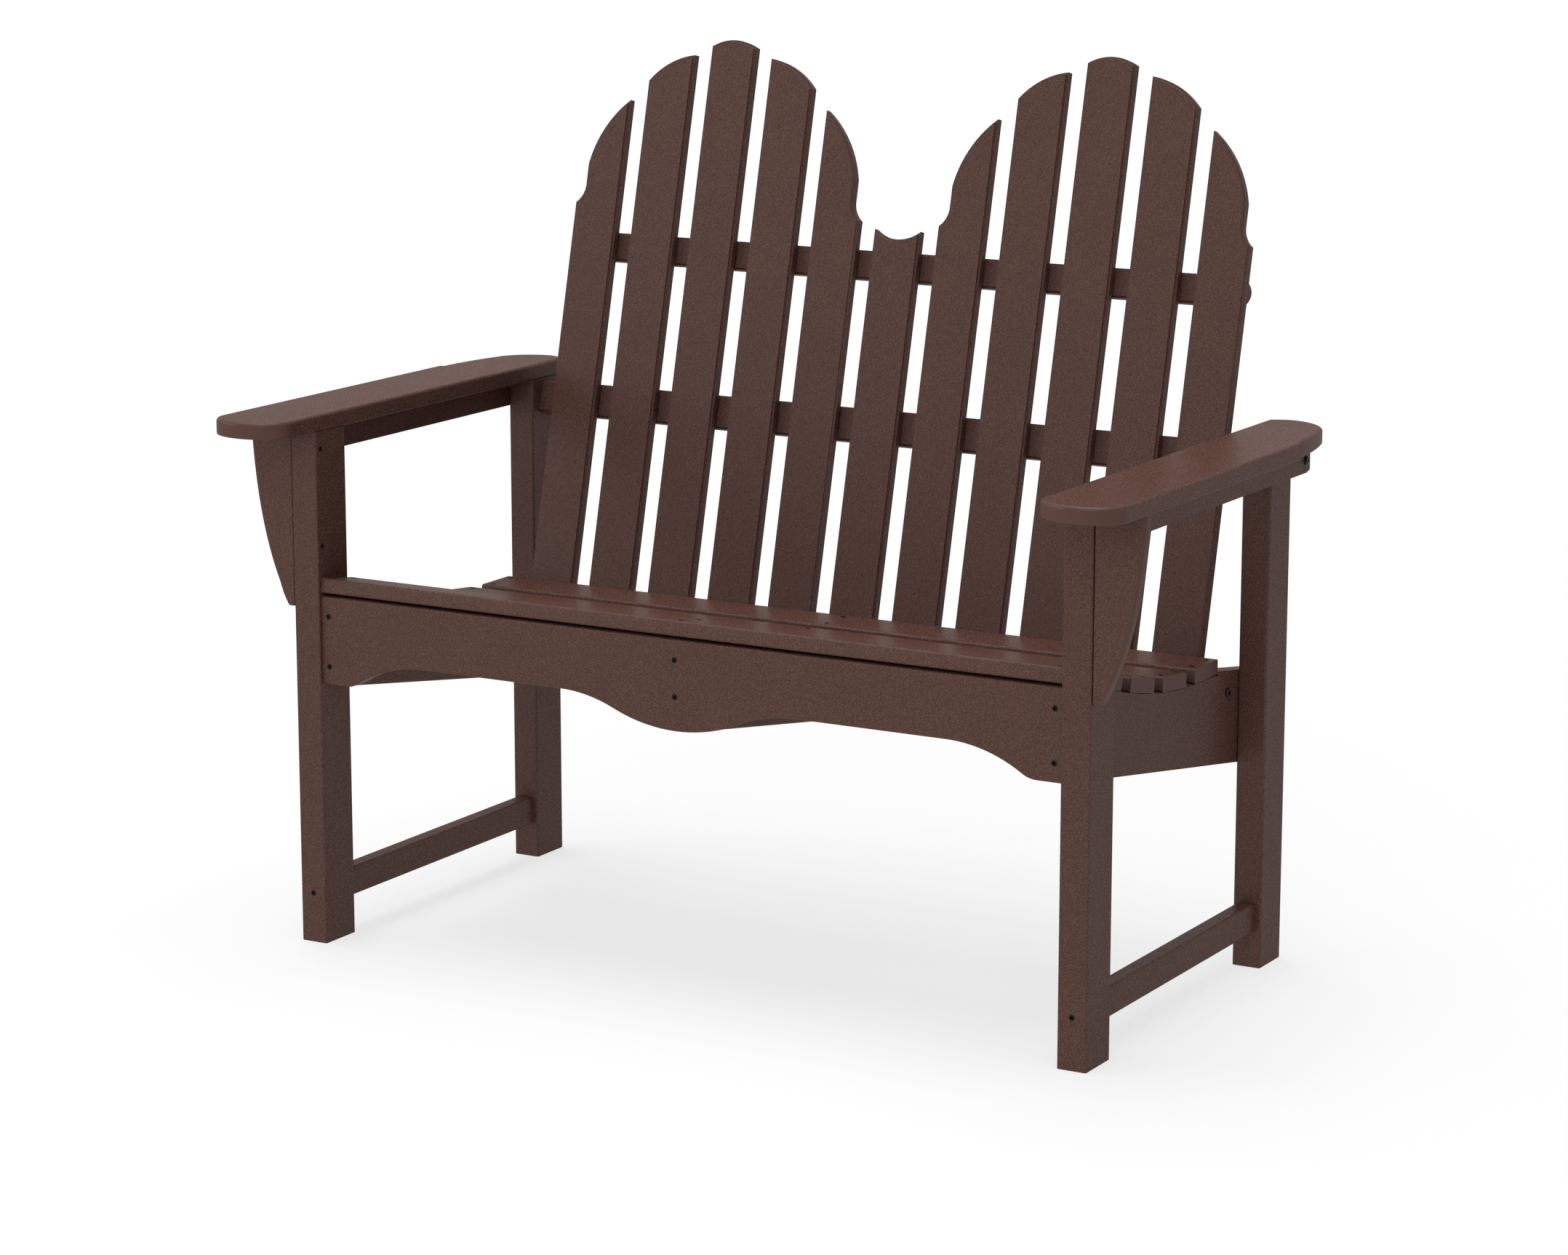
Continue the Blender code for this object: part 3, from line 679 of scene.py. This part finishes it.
def spread_noise(tree, place, size):
    """Noise of a real size in metres, stretched to run from 0 to 1."""
    noise = add_node(tree, "ShaderNodeTexNoise", Vector=place, Scale=1 / size, Detail=NOISE_DETAIL)
    stretch = add_node(
        tree, "ShaderNodeMapRange", Value=noise.outputs["Fac"], From_Min=NOISE_SPAN[0], From_Max=NOISE_SPAN[1]
    )
    return stretch.outputs["Result"]


def pebble_heights(tree, place):
    """The height of the skin, from 0 in the hollows to 1 on the crowns."""
    drawn = tree.nodes.new("ShaderNodeVectorMath")
    drawn.operation = "MULTIPLY"
    wire(tree, drawn.inputs[0], place)
    wire(tree, drawn.inputs[1], PEBBLE_DRAWN_OUT)
    turned = tree.nodes.new("ShaderNodeVectorRotate")
    turned.rotation_type = "EULER_XYZ"
    wire(tree, turned.inputs["Vector"], drawn.outputs[0])
    wire(tree, turned.inputs["Rotation"], PEBBLE_TURN)
    return spread_noise(tree, turned.outputs[0], PEBBLE_SIZE)


# %% Browns
LUMBER_COLOUR = (0.0805, 0.0350, 0.0242)
# Hollows are darkened as painted shade, and crowns are made paler and greyer as painted glints.
HOLLOW_PAINTED_SHADE = (0.64, -0.0045)
CROWN_PAINTED_GLINT = (1.47, 0.027)
PAINTED_GLINT_SPARSITY = 1.6
CUT_COLOUR = (0.0850, 0.0419, 0.0317)
CUT_MOTTLE = 0.05
CLOUD_SIZE = 0.06
CLOUD_CONTRAST = 0.03


def shade_of(colour, factor, pale):
    """A colour made darker or lighter, with a little grey put in or taken out."""
    return (*(channel * factor + pale for channel in colour), 1)


def pebble_painted_shade_and_glint(tree, pebbles):
    """The brown of the skin, with painted shade in the hollows and painted glints on the crowns of the
    pebbles.
    """
    height = math_node(tree, "POWER", pebbles, PAINTED_GLINT_SPARSITY)
    return mix_by(tree, "RGBA", height, shade_of(LUMBER_COLOUR, *HOLLOW_PAINTED_SHADE), shade_of(LUMBER_COLOUR, *CROWN_PAINTED_GLINT))


def cut_colour(tree, pebbles):
    """The even brown inside the board."""
    darker = shade_of(CUT_COLOUR, 1 - CUT_MOTTLE, 0)
    lighter = shade_of(CUT_COLOUR, 1 + CUT_MOTTLE, 0)
    return mix_by(tree, "RGBA", pebbles, darker, lighter)


def clouded(tree, place, colour, tone):
    """A colour in a batch's own tone, which wanders a little over the board."""
    clouds = spread_noise(tree, place, CLOUD_SIZE)
    strength = mix_by(tree, "FLOAT", clouds, tone * (1 - CLOUD_CONTRAST), tone * (1 + CLOUD_CONTRAST))
    tinted = tree.nodes.new("ShaderNodeVectorMath")
    tinted.operation = "SCALE"
    wire(tree, tinted.inputs[0], colour)
    wire(tree, tinted.inputs["Scale"], strength)
    return tinted.outputs[0]


# %% Lumber materials
SHEEN = {"Specular IOR Level": 0, "Coat Weight": 0.19, "Coat Roughness": 0.25, "Coat IOR": 1.65}
PEBBLE_HEIGHT = 0.00018
CUT_PEBBLE_SHARE = 0.12
TONES = {"leg_lumber": 1.0, "arm_lumber": 1.04, "seat_lumber": 1.0, "back_lumber": 0.93}


def lumber(name, tone):
    """The pebbled brown plastic in a batch's own tone, smooth where the face is marked as cut."""
    material = bpy.data.materials.new(name)
    material.use_nodes = True
    tree = material.node_tree
    shader = tree.nodes["Principled BSDF"]
    for socket, value in SHEEN.items():
        wire(tree, shader.inputs[socket], value)
    place = tree.nodes.new("ShaderNodeTexCoord").outputs["Object"]
    stored = tree.nodes.new("ShaderNodeAttribute")
    stored.attribute_name = "cut"
    cut = stored.outputs["Fac"]

    pebbles = pebble_heights(tree, place)
    # The base colour carries painted shade in the pebbles' hollows and painted glints on their crowns.
    colour = mix_by(tree, "RGBA", cut, pebble_painted_shade_and_glint(tree, pebbles), cut_colour(tree, pebbles))
    wire(tree, shader.inputs["Base Color"], clouded(tree, place, colour, tone))
    grip = mix_by(tree, "FLOAT", cut, 1.0, CUT_PEBBLE_SHARE)
    bump = add_node(tree, "ShaderNodeBump", Strength=grip, Distance=PEBBLE_HEIGHT, Height=pebbles)
    wire(tree, shader.inputs["Normal"], bump.outputs["Normal"])
    wire(tree, shader.inputs["Coat Normal"], bump.outputs["Normal"])
    return material


lumbers = {slot: lumber(f"pebbled_{slot}", TONES[slot]) for slot in sorted(TONES)}
for node, piece in pieces.items():
    if slots[node] in lumbers:
        piece.data.materials.append(lumbers[slots[node]])
print("lumber materials", [material.name for material in lumbers.values()])

# %% [markdown]
# ## Black bolts
#
# The four button-head bolts are steel with a thin black coating, smooth enough to hold a soft
# highlight. Metal showing through a black layer could be mixed from two shaders, but the coating
# hides the metal's own colour, so one dark shader will do whose roughness is a little uneven.

# %% Coated steel
COATING_PATCH = 0.0015
COATING_DETAIL = 3.0
COATING_SPREAD_SHARE = 0.2
BOLT_COLOUR = (0.006, 0.0063, 0.007)
BOLT_ROUGHNESS = 0.35
BOLT_GLOSS = 0.20


def coated_steel(name, colour, roughness, gloss):
    """Steel with a thin dark coating whose roughness varies a little."""
    material = bpy.data.materials.new(name)
    material.use_nodes = True
    tree = material.node_tree
    shader = tree.nodes["Principled BSDF"]
    wire(tree, shader.inputs["Base Color"], (*colour, 1))
    wire(tree, shader.inputs["Specular IOR Level"], gloss)
    place = tree.nodes.new("ShaderNodeTexCoord").outputs["Object"]
    patches = add_node(
        tree, "ShaderNodeTexNoise", Vector=place, Scale=1 / COATING_PATCH, Detail=COATING_DETAIL
    )
    spread = add_node(tree, "ShaderNodeMapRange", Value=patches.outputs["Fac"])
    wire(tree, spread.inputs["To Min"], roughness * (1 - COATING_SPREAD_SHARE))
    wire(tree, spread.inputs["To Max"], roughness * (1 + COATING_SPREAD_SHARE))
    wire(tree, shader.inputs["Roughness"], spread.outputs["Result"])
    return material


bolt_black = coated_steel("bolt_black", BOLT_COLOUR, BOLT_ROUGHNESS, BOLT_GLOSS)
bolts = [node for node in pieces if slots[node] == "bolt_steel"]
for node in bolts:
    pieces[node].data.materials.append(bolt_black)
print("bolts", bolts)

# %% [markdown]
# ## Screws
#
# Small black cross-head screws, driven almost flush, hold the slats, the apron, the brackets and the
# stretchers. Their places follow the boards: two side by side where a slat crosses a rail. Setting
# a hundred equal heads by hand would be slow and hard to change, so it is a job for Geometry Nodes:
# one head is built once, set on every seat, turned by a random angle as screws are, and made real.

# %% Seats on the slats
SCREW_PAIR = 0.021
OUTER_SEAT_LINE = 0.514
SEAT_SLATS = 5
FACES_THAT_WAY = 0.8

seats = []


def put_seat(place, outwards):
    """Notes the place of a screw and the way its head looks."""
    seats.append((Vector(place), Vector(outwards).normalized()))


def flat_face(node, direction):
    """Middle and normal of the widest face of a board that looks in this direction."""
    ahead = [face for face in pieces[node].data.polygons if face.normal.dot(direction) > FACES_THAT_WAY]
    widest = max(ahead, key=lambda face: face.area)
    return widest.center.copy(), widest.normal.copy()


for index in range(1, SEAT_SLATS + 1):
    middle, up = flat_face(f"seat_slat_{index}", Vector((0, 0, 1)))
    along = up.cross(Vector((1, 0, 0)))
    for line in (-OUTER_SEAT_LINE, 0, OUTER_SEAT_LINE):
        for side in (-SCREW_PAIR, SCREW_PAIR):
            put_seat(Vector((line, middle.y, middle.z)) + along * side, up)
print("screws on the seat", len(seats))

# %% Seats on the apron, the legs and the back rails
APRON_SCREW_X = 0.5135
APRON_SCREW_DROPS = (0.0257, 0.0908)
MIDDLE_SCREW_DROPS = (0.0256, 0.0714)
BRACKET_SCREW_DROPS = (0.0222, 0.1467)
BRACKET_SCREW_Y = 0.0094
STRETCHER_SCREW_Z = 0.0649

apron_low, apron_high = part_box("apron")
apron_lines = {-APRON_SCREW_X: APRON_SCREW_DROPS, 0: MIDDLE_SCREW_DROPS, APRON_SCREW_X: APRON_SCREW_DROPS}
for x, drops in apron_lines.items():
    for drop in drops:
        put_seat((x, apron_low.y, apron_high.z - drop), (0, -1, 0))

for hand, side in (("left", -1), ("right", 1)):
    leg_low, leg_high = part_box(f"front_leg_{hand}")
    middle = (leg_low.x + leg_high.x) / 2
    inner = max(leg_low.x * side, leg_high.x * side) - (leg_high.x - leg_low.x)
    for drop in BRACKET_SCREW_DROPS:
        put_seat((inner * side, front_face + BRACKET_SCREW_Y, leg_high.z - drop), (-side, 0, 0))
    put_seat((middle, front_face, STRETCHER_SCREW_Z), (0, -1, 0))
    put_seat((middle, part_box(f"rear_leg_{hand}")[1].y, STRETCHER_SCREW_Z), (0, 1, 0))

for rail in ("top", "middle", "bottom"):
    middle, out_of_rail = flat_face(f"back_rail_{rail}", Vector((0, 1, 0)))
    for x in slat_middles:
        for side in (-SCREW_PAIR / 2, SCREW_PAIR / 2):
            if abs(x + side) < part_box(f"back_rail_{rail}")[1].x - SCREW_PAIR:
                put_seat((x + side, middle.y, middle.z), out_of_rail)
print("screws", len(seats))

# %% The head of a screw
SCREW_SIZES = {
    "Head radius": 0.0042,
    "Head rise": 0.0006,
    "Chamfer": 0.0006,
    "Cross length": 0.0052,
    "Cross width": 0.0013,
    "Cross depth": 0.0005,
}
HEAD_SIDES = 24


def screw_head(tree, given):
    """Nodes for one head, a tapered disc that starts below the board, with a cross cut into it.

    The bars that cut the cross lie half above the head, so they are twice as thick as it is deep.
    """
    inner = math_node(tree, "SUBTRACT", given["Head radius"], given["Chamfer"])
    depth = math_node(tree, "MULTIPLY", given["Cross depth"], 2.0)
    height = math_node(tree, "ADD", given["Head rise"], depth)
    disc = add_node(
        tree,
        "GeometryNodeMeshCone",
        Vertices=HEAD_SIDES,
        Radius_Top=inner,
        Radius_Bottom=given["Head radius"],
        Depth=height,
    )
    sink = add_node(tree, "ShaderNodeCombineXYZ", Z=math_node(tree, "MULTIPLY", depth, -1.0))
    sunk = add_node(
        tree, "GeometryNodeTransform", Geometry=disc.outputs["Mesh"], Translation=sink.outputs[0]
    )
    cut = add_node(tree, "GeometryNodeMeshBoolean", Mesh_1=sunk.outputs["Geometry"])
    cut.operation = "DIFFERENCE"
    rise = add_node(tree, "ShaderNodeCombineXYZ", Z=given["Head rise"])
    for turn in (0, QUARTER_TURN):
        size = add_node(
            tree, "ShaderNodeCombineXYZ", X=given["Cross length"], Y=given["Cross width"], Z=depth
        )
        bar = add_node(tree, "GeometryNodeMeshCube", Size=size.outputs[0])
        placed = add_node(
            tree,
            "GeometryNodeTransform",
            Geometry=bar.outputs["Mesh"],
            Translation=rise.outputs[0],
            Rotation=(0, 0, turn),
        )
        tree.links.new(placed.outputs["Geometry"], cut.inputs["Mesh 2"])
    return cut.outputs["Mesh"]


# %% The way a screw looks
def screw_rotation(tree, seed):
    """Nodes that stand a head square to its seat's 'outwards' and turn it by a random angle."""
    outwards = tree.nodes.new("GeometryNodeInputNamedAttribute")
    outwards.data_type = "FLOAT_VECTOR"
    wire(tree, outwards.inputs["Name"], "outwards")
    facing = add_node(tree, "FunctionNodeAlignRotationToVector", Vector=outwards.outputs["Attribute"])
    facing.axis = "Z"
    angle = add_node(tree, "FunctionNodeRandomValue", Seed=seed)
    angle.data_type = "FLOAT"
    largest = next(socket for socket in angle.inputs if socket.type == "VALUE" and socket.name == "Max")
    wire(tree, largest, QUARTER_TURN)
    chosen = next(socket for socket in angle.outputs if socket.type == "VALUE" and socket.enabled)
    turned = add_node(tree, "FunctionNodeAxisAngleToRotation", Axis=(0, 0, 1), Angle=chosen)
    rotation = add_node(
        tree,
        "FunctionNodeRotateRotation",
        Rotation=facing.outputs["Rotation"],
        Rotate_By=turned.outputs["Rotation"],
    )
    rotation.rotation_space = "LOCAL"
    return rotation.outputs["Rotation"]


# %% The screw tree
def screw_tree():
    """A node tree that sets a screw on each point, and the identifiers of its named inputs."""
    tree = bpy.data.node_groups.new("driven_screws", "GeometryNodeTree")
    kinds = {"Seats": "Geometry"}
    kinds.update({name: "Float" for name in SCREW_SIZES})
    kinds.update({"Seed": "Int", "Coating": "Material"})
    sockets = {
        name: tree.interface.new_socket(name, in_out="INPUT", socket_type=f"NodeSocket{kind}")
        for name, kind in kinds.items()
    }
    tree.interface.new_socket("Screws", in_out="OUTPUT", socket_type="NodeSocketGeometry")
    given = tree.nodes.new("NodeGroupInput").outputs
    copies = add_node(
        tree,
        "GeometryNodeInstanceOnPoints",
        Points=given["Seats"],
        Instance=screw_head(tree, given),
        Rotation=screw_rotation(tree, given["Seed"]),
    )
    real = add_node(tree, "GeometryNodeRealizeInstances", Geometry=copies.outputs["Instances"])
    coated = add_node(
        tree, "GeometryNodeSetMaterial", Geometry=real.outputs["Geometry"], Material=given["Coating"]
    )
    add_node(tree, "NodeGroupOutput", Screws=coated.outputs["Geometry"])
    return tree, {name: socket.identifier for name, socket in sockets.items()}


# %% Drive the screws
SCREW_SEED = 7
SCREW_COLOUR = (0.011, 0.0115, 0.0125)
SCREW_ROUGHNESS = 0.45
SCREW_GLOSS = 0.10

screw_black = coated_steel("screw_black", SCREW_COLOUR, SCREW_ROUGHNESS, SCREW_GLOSS)
points = bpy.data.meshes.new("screw_seats")
points.from_pydata([place for place, _ in seats], [], [])
outwards = points.attributes.new("outwards", "FLOAT_VECTOR", "POINT")
outwards.data.foreach_set("vector", [value for _, way in seats for value in way])
draft = bpy.data.objects.new("draft", points)
bpy.context.collection.objects.link(draft)
tree, identifiers = screw_tree()
driving = draft.modifiers.new("driving", "NODES")
driving.node_group = tree
for name, size in SCREW_SIZES.items():
    driving[identifiers[name]] = size
driving[identifiers["Seed"]] = SCREW_SEED
driving[identifiers["Coating"]] = screw_black
graph = bpy.context.evaluated_depsgraph_get()
screw_mesh = bpy.data.meshes.new_from_object(draft.evaluated_get(graph))
bpy.data.objects.remove(draft)
print("screw faces", len(screw_mesh.polygons))

# %% [markdown]
# ## Painted shade in the screws' recesses
#
# In a real screw the cross is a deep pit that hardly any light leaves. A deep cut would reach below
# the board, and the brown would show through it. So the cut is shallow, and its faces, which lie
# below the head's top and near its axis, get a black without any gloss: painted shade that stands in
# for the darkness of the deep pit.

# %% Recesses and the finished screws
RECESS_PAINTED_SHADE = (0.001, 0.001, 0.001)
RECESS_ROUGHNESS = 0.9
RECESS_GLOSS = 0.0
RECESS_TOLERANCE = 0.00005
RECESS_REACH_SHARE = 0.52

# A black material without gloss, which is painted shade in the shallow crosses.
recess_painted_shade = coated_steel("recess_painted_shade", RECESS_PAINTED_SHADE, RECESS_ROUGHNESS, RECESS_GLOSS)
faces_each = len(screw_mesh.polygons) // len(seats)


def is_in_recess(face):
    """Tells the faces of a cross from the rest of the head."""
    place, way = seats[face.index // faces_each]
    offset = face.center - place
    height = offset.dot(way)
    off_axis = (offset - way * height).length
    is_low = height < SCREW_SIZES["Head rise"] - RECESS_TOLERANCE
    return is_low and off_axis < SCREW_SIZES["Cross length"] * RECESS_REACH_SHARE


in_recess = [is_in_recess(face) for face in screw_mesh.polygons]
screw_mesh.materials.clear()
screw_mesh.materials.append(screw_black)
screw_mesh.materials.append(recess_painted_shade)
screw_mesh.polygons.foreach_set("material_index", [int(recessed) for recessed in in_recess])
screws = bpy.data.objects.new("screws", screw_mesh)
bpy.context.collection.objects.link(screws)
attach(screws, "root")
print("faces in recesses", sum(in_recess))
